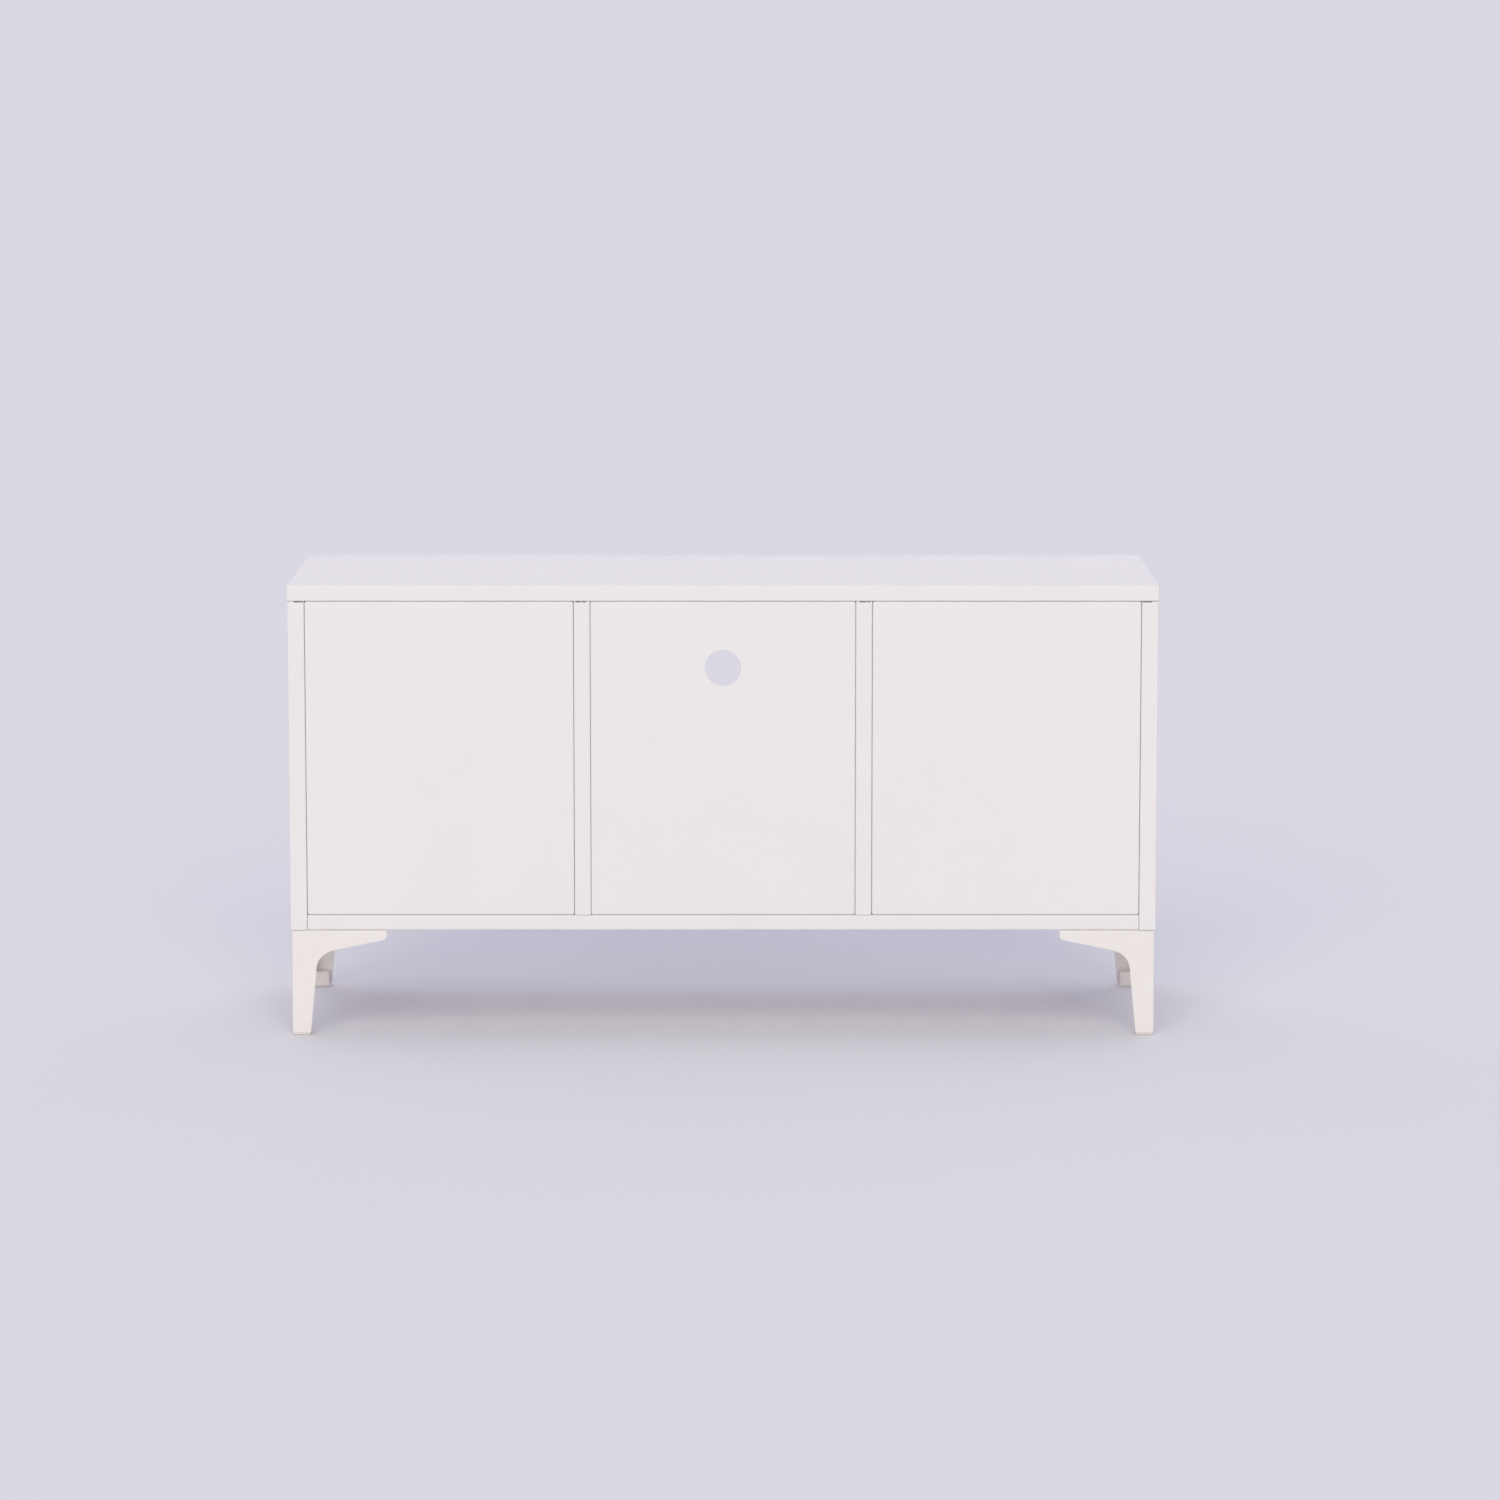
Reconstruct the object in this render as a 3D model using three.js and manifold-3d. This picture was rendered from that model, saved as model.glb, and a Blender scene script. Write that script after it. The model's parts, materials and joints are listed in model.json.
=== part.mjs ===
// A low television cabinet of folded sheet steel: a top tray, two side panels, a floor tray and two dividers
// make three bays. The outer bays have a hinged door each, the middle one is open in front and has a cable
// hole in its back, and the whole cabinet stands on four corner legs.
//
// Millimetres, +Z up. The doors face -Y and the back faces +Y. The origin is on the floor, under the middle
// of the whole object, door knobs included.

import * as THREE from 'three';
import { mergeVertices } from 'three/addons/utils/BufferGeometryUtils.js';
import Module from 'manifold-3d';

const wasm = await Module();
wasm.setup();

// ---- Driving dimensions --------------------------------------------------------------------------------

const WIDTH = 1200; // the top tray, the widest piece
const DEPTH = 400; // the top tray, without the knobs
const HEIGHT = 628; // floor to top face
const KNOB_REACH = 22; // how far a knob stands out past the top tray's front edge

const SHEET = 0.8; // thickness of the cabinet's sheet steel
const BEND = 2; // outside radius of a fold
const FOLD_FACETS = 4; // flats in a right-angled fold of a strip
const EDGE_FACETS = 2; // flats in a rounded edge or corner of a block
const SWEEP_FACETS = 10; // flats in each curved stretch of a leg's outline
const GAP = 0.3; // between pieces that are fixed to each other
const SEAM = 0.4; // shadow line round the back panels
const INSET = 1; // the carcass stands back from the top tray's faces

const TOP_EDGE = 22; // folded edge of the top tray
const FRONT_LIP = 40; // return lip under the top tray's front edge, which takes the hinges and catches
const LIP = 24; // the other return lips of the top and floor trays
const FLOOR_EDGE = 21; // folded edge of the floor tray
const LEG_HEIGHT = 148;

const RAIL = 23.5; // width of the side panels' front and back flanges
const RAIL_LIP = 12; // return lip of an upright flange
const MULLION = 22.5; // width of the dividers' flanges
const MULLION_X = 194; // middle of a divider, from the middle of the cabinet
const RAIL_SEAM = 0.4; // between a side rail and the end of the floor tray
const SLOT_HEIGHT = 1.3; // relief slots at the tops of the uprights
const RAIL_SLOT = [9.6, 24.5]; // from the outer face of a side panel
const MULLION_SLOT = [5.5, 19.5]; // from the middle bay's side of a divider

const BACK_EDGE = 10; // folded edge of a back panel
const CABLE_HOLE = { radius: 25, height: 514 };

const SHELF_Z = 385; // top face of the shelves
const SHELF_EDGE = 15;
const SHELF_LIP = 8;
const SHELF_SETBACK = 5; // from the back of a shut door to the shelf behind it
const SHELF_RAIL = { size: 12, sheet: 1, length: 340 };

const DOOR_THICK = 18;
const DOOR_LIP = 14;
const DOOR_GAP = 2.5; // beside a door
const DOOR_GAP_Z = 2.7; // above and below a door
const PIVOT_IN = 6; // hinge line, from the door's outer edge and from its face
const KNOB = { radius: 13, neck: 6.2, base: 8.5, fromEdge: 34 };
const KNOB_SCREW = { radius: 2, bore: 2.4, head: 4.5, headHigh: 2.4, inKnob: 11, access: 7.2 };
const STIFFENER = { width: 44, shorter: 46 };

const PIN = { radius: 2.7, collar: 4.5, collarLength: 4.2, reach: 3.3 };
const BUSH = { bore: 3.1, radius: 4.5, flange: 5.5, flangeThick: 1.2, length: 5 };
const BUSH_HOLE = 4.8; // radius of the hole that a bush is pressed into
const CATCH = { width: 36, deep: 15, high: 11.7, fromEdge: 34 };
const STRIKE = { width: 34, high: 11, thick: 1.2 };
const STOP = { width: 22, deep: 10, high: 8 };

const LEG_SHEET = 2;
const LEG_CORNER = 3; // radius of a leg's outer upright fold
const LEG_FLANGE = 24; // width of the mounting flange on top of a leg
const LEG_INSET = 1; // the legs stand back from the carcass faces
const FOOT_HEIGHT = 3.7; // the leg's steel starts above its foot cap
// One wing of a leg, seen square on: distance from the leg's outer edge, and height above the floor.
const LEG = {
  arm: 132,
  tipHeight: 140,
  tipCorner: [124, 133],
  filletStart: [61, 120],
  filletCorner: [36.6, 114.9],
  filletEnd: [34.5, 93.6],
  footWidth: 25.7,
};
const FOOT = { width: 25.3, edge: 2.4, corner: 3, plugTop: 22 };
const LEG_BOLT = { radius: 2.8, hole: 3.5, head: 5.5, headHigh: 2.8, length: 13, along: 100, across: 12 };
const HEX_KEY = 4; // across the corners of the sockets in the screws

// ---- Places worked out from them -----------------------------------------------------------------------
// They are measured in the cabinet's own group, whose Y is zero in the middle of the top tray's depth.

const sideX = WIDTH / 2 - INSET;
const faceY = DEPTH / 2 - INSET;
const railX = sideX - RAIL; // inner edge of the side rails
const mullionOut = MULLION_X + MULLION / 2;
const mullionIn = MULLION_X - MULLION / 2;
const lipZ = HEIGHT - TOP_EDGE; // underside of the top tray's folded edge
const carcassTop = lipZ - GAP;
const floorZ = LEG_HEIGHT + FLOOR_EDGE; // top face of the floor tray
const bayMiddleZ = (lipZ + floorZ) / 2;
const bayHeight = lipZ - floorZ;
const bayX = -(railX + mullionOut) / 2; // middle of the left bay
const bayWidth = railX - mullionOut;

const doorWidth = bayWidth - 2 * DOOR_GAP;
const doorHeight = bayHeight - 2 * DOOR_GAP_Z;
const doorBackY = -faceY + DOOR_THICK;
const pivotX = -(railX - DOOR_GAP - PIVOT_IN);
const pivotY = -faceY + PIVOT_IN;
const freeEdgeX = -(mullionOut + DOOR_GAP);
const knobX = freeEdgeX - KNOB.fromEdge;

// ---- Materials -----------------------------------------------------------------------------------------

const finishes = {
  powderCoat: { color: 0xeae5e7, roughness: 0.55, metalness: 0 },
  whiteNylon: { color: 0xdedcd8, roughness: 0.5, metalness: 0 },
  greyPlastic: { color: 0x9d9d9b, roughness: 0.5, metalness: 0 },
  rubber: { color: 0x77777a, roughness: 0.85, metalness: 0 },
  zincSteel: { color: 0xb4b6b8, roughness: 0.35, metalness: 1 },
};

// ---- Solids --------------------------------------------------------------------------------------------

// A closed three.js geometry as a solid that can be cut and joined.
function solid(geometry) {
  const bare = geometry.clone();
  bare.deleteAttribute('normal');
  bare.deleteAttribute('uv');
  const welded = mergeVertices(bare, 1e-4);
  const mesh = new wasm.Mesh({
    numProp: 3,
    vertProperties: new Float32Array(welded.attributes.position.array),
    triVerts: new Uint32Array(welded.index.array),
  });
  return new wasm.Manifold(mesh);
}

// A finished solid back as a three.js geometry.
function geometryOf(shape) {
  const { vertProperties, triVerts } = shape.getMesh();
  const geometry = new THREE.BufferGeometry();
  geometry.setAttribute('position', new THREE.BufferAttribute(vertProperties, 3));
  geometry.setIndex(new THREE.BufferAttribute(triVerts, 1));
  geometry.computeVertexNormals();
  return geometry;
}

// A plain block between two corners.
function block([x0, y0, z0], [x1, y1, z1]) {
  const geometry = new THREE.BoxGeometry(x1 - x0, y1 - y0, z1 - z0);
  geometry.translate((x0 + x1) / 2, (y0 + y1) / 2, (z0 + z1) / 2);
  return solid(geometry);
}

// An outline pushed along X, Y or Z. The outline's own plane is YZ, XZ or XY. Each curve segment gives an arc
// two flats, and a quadratic curve one.
function prism(outline, axis, from, to, curveSegments = FOLD_FACETS / 2) {
  const depth = to - from;
  const geometry = new THREE.ExtrudeGeometry(outline, { depth, bevelEnabled: false, curveSegments });
  const x = new THREE.Vector3(1, 0, 0);
  const y = new THREE.Vector3(0, 1, 0);
  const z = new THREE.Vector3(0, 0, 1);
  const place = new THREE.Matrix4();
  if (axis === 'x') {
    place.makeBasis(y, z, x).setPosition(from, 0, 0);
  } else if (axis === 'y') {
    place.makeBasis(x, z, y.clone().negate()).setPosition(0, to, 0);
  } else {
    place.setPosition(0, 0, from);
  }
  return solid(geometry.applyMatrix4(place));
}

// A straight round bar or hole along X, Y or Z.
function round(axis, radius, [x, y, z], length, facets = 16) {
  const geometry = new THREE.CylinderGeometry(radius, radius, length, facets);
  if (axis === 'x') geometry.rotateZ(Math.PI / 2);
  if (axis === 'z') geometry.rotateX(Math.PI / 2);
  return solid(geometry.translate(x, y, z));
}

// A turned piece about Z, from [radius, height] points that go up its outside.
function turned(profile, facets = 14) {
  const points = profile.map(([radius, height]) => new THREE.Vector2(radius, height));
  const geometry = new THREE.LatheGeometry(points, facets);
  return solid(geometry.rotateX(Math.PI / 2));
}

function roundedRectangle(halfX, halfY, radius) {
  const outline = new THREE.Shape();
  const x = halfX - radius;
  const y = halfY - radius;
  outline.absarc(x, y, radius, 0, Math.PI / 2);
  outline.absarc(-x, y, radius, Math.PI / 2, Math.PI);
  outline.absarc(-x, -y, radius, Math.PI, 1.5 * Math.PI);
  outline.absarc(x, -y, radius, 1.5 * Math.PI, 2 * Math.PI);
  outline.closePath();
  return outline;
}

// A block centred on the Z axis, from `bottom` to `top`, with every edge rounded.
function softBlock(sizeX, sizeY, bottom, top, edge, corner) {
  const outline = roundedRectangle(sizeX / 2 - edge, sizeY / 2 - edge, Math.max(corner - edge, 0.2));
  const geometry = new THREE.ExtrudeGeometry(outline, {
    depth: top - bottom - 2 * edge,
    bevelThickness: edge,
    bevelSize: edge,
    bevelSegments: EDGE_FACETS,
    curveSegments: EDGE_FACETS / 2,
  });
  return solid(geometry.translate(0, 0, bottom + edge));
}

// A folded tray with its sheet on top and its mouth down. Each lip is the width of the return fold along
// one side of the mouth. A tray with no lips has plain edges that end at z = 0.
function tray(sizeX, sizeY, deep, lips) {
  const sag = lips ? 0 : 2 * BEND;
  const outside = softBlock(sizeX, sizeY, -sag, deep, BEND, 1.5 * BEND);
  const insideX = sizeX - 2 * SHEET;
  const insideY = sizeY - 2 * SHEET;
  const insideLow = lips ? SHEET : -sag;
  const inside = softBlock(insideX, insideY, insideLow, deep - SHEET, BEND - SHEET, BEND - SHEET);
  const { left, right, front, back } = lips ?? { left: -sag, right: -sag, front: -sag, back: -sag };
  const mouth = block(
    [-sizeX / 2 + left, -sizeY / 2 + front, -deep],
    [sizeX / 2 - right, sizeY / 2 - back, lips ? deep / 2 : 0],
  );
  return outside.subtract(inside).subtract(mouth);
}

// The outline of a folded strip. The points are the corners of its outer face, with the metal on the left
// of the way they run.
function foldedStrip(points, sheet = SHEET, bend = BEND) {
  const outer = points.map(([u, v]) => new THREE.Vector2(u, v));
  const last = outer.length - 1;
  const way = (from, to) => to.clone().sub(from).normalize();
  const left = (direction) => new THREE.Vector2(-direction.y, direction.x);
  const inner = outer.map((corner, i) => {
    const before = left(way(outer[Math.max(i - 1, 0)], outer[Math.max(i, 1)]));
    const after = left(way(outer[Math.min(i, last - 1)], outer[Math.min(i + 1, last)]));
    const step = before.clone().add(after).multiplyScalar(sheet / (1 + before.dot(after)));
    return corner.clone().add(step);
  });

  const outline = new THREE.Shape();
  const fold = (before, corner, after) => {
    const arriving = way(before, corner);
    const leaving = way(corner, after);
    const side = Math.sign(arriving.cross(leaving));
    const angle = Math.acos(arriving.dot(leaving));
    const radius = side > 0 ? bend : bend - sheet;
    const start = corner.clone().addScaledVector(arriving, -radius * Math.tan(angle / 2));
    const centre = start.clone().addScaledVector(left(arriving), side * radius);
    const startAngle = Math.atan2(start.y - centre.y, start.x - centre.x);
    outline.absarc(centre.x, centre.y, radius, startAngle, startAngle + side * angle, side < 0);
  };
  const follow = (corners) => {
    for (let i = 1; i < last; i += 1) fold(corners[i - 1], corners[i], corners[i + 1]);
    outline.lineTo(corners[last].x, corners[last].y);
  };
  outline.moveTo(outer[0].x, outer[0].y);
  follow(outer);
  inner.reverse();
  outline.lineTo(inner[0].x, inner[0].y);
  follow(inner);
  outline.closePath();
  return outline;
}

// ---- Scene graph ---------------------------------------------------------------------------------------

const tvStand = new THREE.Group();
const cabinet = new THREE.Group();
cabinet.position.y = KNOB_REACH / 2;
tvStand.add(cabinet);

function add(name, shape, finish, { at = [0, 0, 0], turn = [0, 0, 0], mirror = false } = {}) {
  const material = new THREE.MeshStandardMaterial(finishes[finish]);
  const mesh = new THREE.Mesh(geometryOf(shape), material);
  mesh.name = name;
  mesh.position.set(...at);
  mesh.rotation.set(...turn);
  const holder = new THREE.Group();
  holder.scale.x = mirror ? -1 : 1;
  holder.add(mesh);
  cabinet.add(holder);
}

// The same piece on the left and, mirrored, on the right.
function addPair(name, shape, finish, place = {}) {
  add(`left_${name}`, shape, finish, place);
  add(`right_${name}`, shape, finish, { ...place, mirror: true });
}

const FACE_BACK = [-Math.PI / 2, 0, 0]; // turns a tray's sheet from +Z to +Y
const FACE_FRONT = [Math.PI / 2, 0, 0]; // turns it from +Z to -Y
const HALF_TURN_Z = [0, 0, Math.PI];
const UPSIDE_DOWN = [Math.PI, 0, 0];

// ---- Top tray ------------------------------------------------------------------------------------------

// The sheet that the television stands on, with its edges folded down and then in all round.
function makeTop() {
  const lips = { left: LIP, right: LIP, front: FRONT_LIP, back: LIP };
  let top = tray(WIDTH, DEPTH, TOP_EDGE, lips);
  for (const x of [pivotX, -pivotX]) {
    top = top.subtract(round('z', BUSH_HOLE, [x, pivotY, 0], 4 * SHEET));
  }
  return top;
}

// A channel between a divider and the top sheet, which carries the television's weight. It reaches from wall
// to wall of the tray, and its ends are notched over the tray's lips.
function makeTopChannel() {
  const high = TOP_EDGE - SHEET - GAP;
  const section = foldedStrip([
    [MULLION / 2, 0],
    [MULLION / 2, high],
    [-MULLION / 2, high],
    [-MULLION / 2, 0],
  ]);
  const end = DEPTH / 2 - SHEET - BEND;
  const lipTop = SHEET + GAP;
  const frontLip = block([-MULLION, -DEPTH / 2, -GAP], [MULLION, -DEPTH / 2 + FRONT_LIP + GAP, lipTop]);
  const backLip = block([-MULLION, DEPTH / 2 - LIP - GAP, -GAP], [MULLION, DEPTH / 2, lipTop]);
  return prism(section, 'y', -end, end).subtract(frontLip).subtract(backLip);
}

add('top_panel', makeTop(), 'powderCoat', { at: [0, 0, lipZ] });
addPair('top_channel', makeTopChannel(), 'powderCoat', { at: [-MULLION_X, 0, lipZ] });

// ---- Uprights ------------------------------------------------------------------------------------------

// A side panel or a divider: an upright sheet whose front and back edges are folded into rails. Its sheet is
// at x = 0 and its open side faces +X.
function makeUpright(railWidth, low, high, slot) {
  const section = foldedStrip([
    [railWidth, faceY - RAIL_LIP],
    [railWidth, faceY],
    [0, faceY],
    [0, -faceY],
    [railWidth, -faceY],
    [railWidth, -faceY + RAIL_LIP],
  ]);
  const flangeY = faceY - 1.5 * BEND;
  let upright = prism(section, 'z', low, high);
  for (const z of [low, high - SHEET]) {
    upright = upright.add(block([SHEET / 2, -flangeY, z], [railWidth, flangeY, z + SHEET]));
  }
  const slotDepth = 1.5 * SHEET;
  for (const y of [-faceY, faceY]) {
    const slotLow = [slot[0], y - slotDepth, high - SLOT_HEIGHT];
    upright = upright.subtract(block(slotLow, [slot[1], y + slotDepth, high + BEND]));
  }
  return upright;
}

// Leg bolts pass through the bottom flange of each side panel.
function makeSidePanel() {
  let panel = makeUpright(RAIL, LEG_HEIGHT, carcassTop, RAIL_SLOT);
  const boltX = LEG_INSET + LEG_BOLT.across;
  const boltY = faceY - LEG_INSET - LEG_BOLT.along;
  for (const y of [-boltY, boltY]) {
    panel = panel.subtract(round('z', LEG_BOLT.hole, [boltX, y, LEG_HEIGHT], 4 * SHEET));
  }
  return panel;
}

addPair('side_panel', makeSidePanel(), 'powderCoat', { at: [-sideX, 0, 0] });
addPair('divider', makeUpright(MULLION, floorZ + GAP, carcassTop, MULLION_SLOT), 'powderCoat', {
  at: [-mullionIn, 0, 0],
  turn: HALF_TURN_Z,
});

// ---- Floor tray ----------------------------------------------------------------------------------------

// The cabinet's floor between the side rails, with an ear at each end that reaches into the side panel.
function makeFloor() {
  const section = foldedStrip([
    [faceY - LIP, LEG_HEIGHT],
    [faceY, LEG_HEIGHT],
    [faceY, floorZ],
    [-faceY, floorZ],
    [-faceY, LEG_HEIGHT],
    [-faceY + LIP, LEG_HEIGHT],
  ]);
  const endX = railX - RAIL_SEAM;
  const earX = sideX - SHEET - GAP;
  const earY = faceY - RAIL_LIP - GAP;
  const earLow = LEG_HEIGHT + SHEET + GAP;
  const boltX = sideX - LEG_INSET - LEG_BOLT.along;
  const boltY = faceY - LEG_INSET - LEG_BOLT.across;
  let floor = prism(section, 'x', -endX, endX);
  floor = floor.add(block([-earX, -earY, floorZ - SHEET], [earX, earY, floorZ]));
  for (const side of [-1, 1]) {
    const ends = [side * earX, side * (earX - SHEET)].sort((a, b) => a - b);
    floor = floor.add(block([ends[0], -earY, earLow], [ends[1], earY, floorZ]));
    floor = floor.subtract(round('z', BUSH_HOLE, [side * pivotX, pivotY, floorZ], 4 * SHEET));
    for (const y of [-boltY, boltY]) {
      floor = floor.subtract(round('z', LEG_BOLT.hole, [side * boltX, y, LEG_HEIGHT], 4 * SHEET));
    }
  }
  return floor;
}

add('floor_panel', makeFloor(), 'powderCoat');

// ---- Back panels ---------------------------------------------------------------------------------------

const backHeight = bayHeight - 2 * SEAM;
const backPlace = { turn: FACE_BACK };
const sideBack = tray(bayWidth - 2 * SEAM, backHeight, BACK_EDGE, null);
addPair('back_panel', sideBack, 'powderCoat', { ...backPlace, at: [bayX, faceY - BACK_EDGE, bayMiddleZ] });

// The middle back panel has the round hole that cables pass through.
function makeMiddleBack() {
  const panel = tray(2 * (mullionIn - SEAM), backHeight, BACK_EDGE, null);
  const holeY = bayMiddleZ - CABLE_HOLE.height;
  return panel.subtract(round('z', CABLE_HOLE.radius, [0, holeY, BACK_EDGE], 4 * SHEET, 48));
}

add('middle_back_panel', makeMiddleBack(), 'powderCoat', {
  ...backPlace,
  at: [0, faceY - BACK_EDGE, bayMiddleZ],
});

// ---- Shelves -------------------------------------------------------------------------------------------

// A shelf is a sheet whose front and back edges are folded down and then in.
function makeShelf(left, right, front, back) {
  const low = SHELF_Z - SHELF_EDGE;
  const section = foldedStrip([
    [back - SHELF_LIP, low],
    [back, low],
    [back, SHELF_Z],
    [front, SHELF_Z],
    [front, low],
    [front + SHELF_LIP, low],
  ]);
  return prism(section, 'x', left, right);
}

// An angle on each wall of a closed bay, under the ends of its shelf. Its upright leg is against x = 0.
function makeShelfRail() {
  const { size, sheet, length } = SHELF_RAIL;
  const section = foldedStrip([[size, size], [0, size], [0, 0]], sheet, 2 * sheet);
  return prism(section, 'y', -length / 2, length / 2);
}

const shelfFront = doorBackY + SHELF_SETBACK;
const shelfBack = faceY - RAIL_LIP - SEAM;
const wallX = sideX - SHEET - GAP; // inner face of a side panel
const dividerX = mullionIn + SHEET + GAP; // face of a divider in the closed bay
const railZ = SHELF_Z - SHELF_EDGE - GAP - SHELF_RAIL.size;
const sideShelf = makeShelf(-wallX, -dividerX, shelfFront, shelfBack);
const middleShelf = makeShelf(-mullionIn + GAP, mullionIn - GAP, -faceY + SEAM, faceY - BACK_EDGE - SEAM);
addPair('shelf', sideShelf, 'powderCoat');
add('middle_shelf', middleShelf, 'powderCoat');
addPair('outer_shelf_rail', makeShelfRail(), 'powderCoat', { at: [-wallX, 0, railZ] });
addPair('inner_shelf_rail', makeShelfRail(), 'powderCoat', { at: [-dividerX, 0, railZ], turn: HALF_TURN_Z });

// ---- Doors ---------------------------------------------------------------------------------------------

// Pieces inside a door are made lying on their back, with the door's face up at z = DOOR_THICK, its middle
// on the Z axis and its hinge side towards -X.
const doorPlace = { at: [bayX, doorBackY, bayMiddleZ], turn: FACE_FRONT };
const knobInDoor = knobX - bayX;

function makeDoorPanel() {
  const lips = { left: DOOR_LIP, right: DOOR_LIP, front: DOOR_LIP, back: DOOR_LIP };
  const pinX = pivotX - bayX;
  let door = tray(doorWidth, doorHeight, DOOR_THICK, lips);
  door = door.subtract(round('z', KNOB_SCREW.bore, [knobInDoor, 0, DOOR_THICK], 4 * SHEET));
  for (const y of [-doorHeight / 2, doorHeight / 2]) {
    door = door.subtract(round('y', PIN.radius + GAP, [pinX, y, DOOR_THICK - PIVOT_IN], 4 * SHEET));
  }
  return door;
}

// The inner sheet that closes the door's back, held by the lips. A hole lets a driver reach the knob's screw.
function makeDoorLiner() {
  const outline = roundedRectangle(doorWidth / 2 - BEND, doorHeight / 2 - BEND, BEND);
  const sheet = prism(outline, 'z', SHEET + GAP, 2 * SHEET + GAP);
  return sheet.subtract(round('z', KNOB_SCREW.access, [knobInDoor, 0, SHEET + GAP], 4 * SHEET, 24));
}

// An upright channel behind the door's face, which the knob pulls on.
function makeDoorStiffener() {
  const { width, shorter } = STIFFENER;
  const high = DOOR_THICK - SHEET - GAP;
  const low = 2 * (SHEET + GAP) + GAP;
  const section = foldedStrip([
    [knobInDoor + width / 2, low],
    [knobInDoor + width / 2, high],
    [knobInDoor - width / 2, high],
    [knobInDoor - width / 2, low],
  ]);
  const half = (doorHeight - shorter) / 2;
  const channel = prism(section, 'y', -half, half);
  return channel.subtract(round('z', KNOB_SCREW.bore, [knobInDoor, 0, high], 4 * SHEET));
}

// A turned knob: a foot, a waist and a domed head with a rounded rim, and a blind hole for its screw.
function makeKnob() {
  const { radius, neck, base } = KNOB;
  const reach = KNOB_REACH + INSET;
  const rim = 3.2;
  const outline = new THREE.Path();
  outline.moveTo(0, GAP);
  outline.lineTo(base, GAP);
  outline.quadraticCurveTo(base, 2.2, neck + 0.6, 3.4);
  outline.bezierCurveTo(neck - 0.6, 7, neck + 1, 11, radius - 1.4, reach - 2 * rim - 1);
  outline.quadraticCurveTo(radius + 0.6, reach - rim - 1.2, radius - 1.2, reach - 1.5);
  outline.quadraticCurveTo(radius - 3.5, reach - 0.1, 0, reach);
  const profile = outline.getPoints(2).map((point) => [Math.max(point.x, 0), point.y]);
  const bore = round('z', KNOB_SCREW.bore, [0, 0, KNOB_SCREW.inKnob / 2], KNOB_SCREW.inKnob + 3);
  return turned(profile, 20).subtract(bore);
}

// A domed screw with a hexagon socket. Its shank points up from z = 0 and its head hangs below.
function makeScrew({ radius, head, high, length }) {
  const screw = turned([
    [0, -high],
    [0.62 * head, -high],
    [0.9 * head, -0.62 * high],
    [head, -0.2 * high],
    [head, 0],
    [radius, 0],
    [radius, length - 0.5 * radius],
    [0.6 * radius, length],
    [0, length],
  ]);
  return screw.subtract(round('z', HEX_KEY / 2, [0, 0, -high], 1.2 * high, 6));
}

// A hinge pin: a collar inside the door and a shaft that stands out of its end.
function makePin() {
  const { radius, collar, collarLength, reach } = PIN;
  const edge = DOOR_GAP_Z + reach;
  const inside = -SHEET - GAP;
  return turned([
    [0, inside - collarLength],
    [collar - 0.6, inside - collarLength],
    [collar, inside - collarLength + 0.6],
    [collar, inside],
    [radius, inside],
    [radius, edge - 0.8],
    [radius - 0.8, edge],
    [0, edge],
  ]);
}

// A flanged plastic bush. Its flange is just below z = 0 and its barrel goes up through the sheet.
function makeBush() {
  const { bore, radius, flange, flangeThick, length } = BUSH;
  const low = -GAP - flangeThick;
  return turned([
    [bore, low],
    [flange - 0.3, low],
    [flange, low + 0.3],
    [flange, -GAP],
    [radius, -GAP],
    [radius, low + length - 0.4],
    [radius - 0.4, low + length],
    [bore, low + length],
    [bore, low],
  ], 16);
}

const screwY = doorBackY - DOOR_THICK + 2 * (SHEET + GAP);
const knobScrew = makeScrew({
  radius: KNOB_SCREW.radius,
  head: KNOB_SCREW.head,
  high: KNOB_SCREW.headHigh,
  length: KNOB_SCREW.inKnob + 1,
});
const doorTop = bayMiddleZ + doorHeight / 2;
const doorLow = bayMiddleZ - doorHeight / 2;

addPair('door_panel', makeDoorPanel(), 'powderCoat', doorPlace);
addPair('door_liner', makeDoorLiner(), 'powderCoat', doorPlace);
addPair('door_stiffener', makeDoorStiffener(), 'powderCoat', doorPlace);
addPair('door_knob', makeKnob(), 'powderCoat', { at: [knobX, -faceY, bayMiddleZ], turn: FACE_FRONT });
addPair('knob_screw', knobScrew, 'zincSteel', { at: [knobX, screwY, bayMiddleZ], turn: FACE_FRONT });
addPair('top_hinge_pin', makePin(), 'zincSteel', { at: [pivotX, pivotY, doorTop] });
addPair('bottom_hinge_pin', makePin(), 'zincSteel', { at: [pivotX, pivotY, doorLow], turn: UPSIDE_DOWN });
addPair('top_hinge_bush', makeBush(), 'whiteNylon', { at: [pivotX, pivotY, lipZ] });
addPair('bottom_hinge_bush', makeBush(), 'whiteNylon', { at: [pivotX, pivotY, floorZ], turn: UPSIDE_DOWN });

// A magnetic catch under the top tray's front lip, its steel strike on the door, and a rubber stop below.
function makeCatch() {
  const { width, deep, high } = CATCH;
  const body = softBlock(width, deep, -high, 0, 1, 2);
  const groove = block([-0.35 * width, -deep, -0.62 * high], [0.35 * width, -deep / 2 + 1, -0.38 * high]);
  return body.subtract(groove);
}

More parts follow.
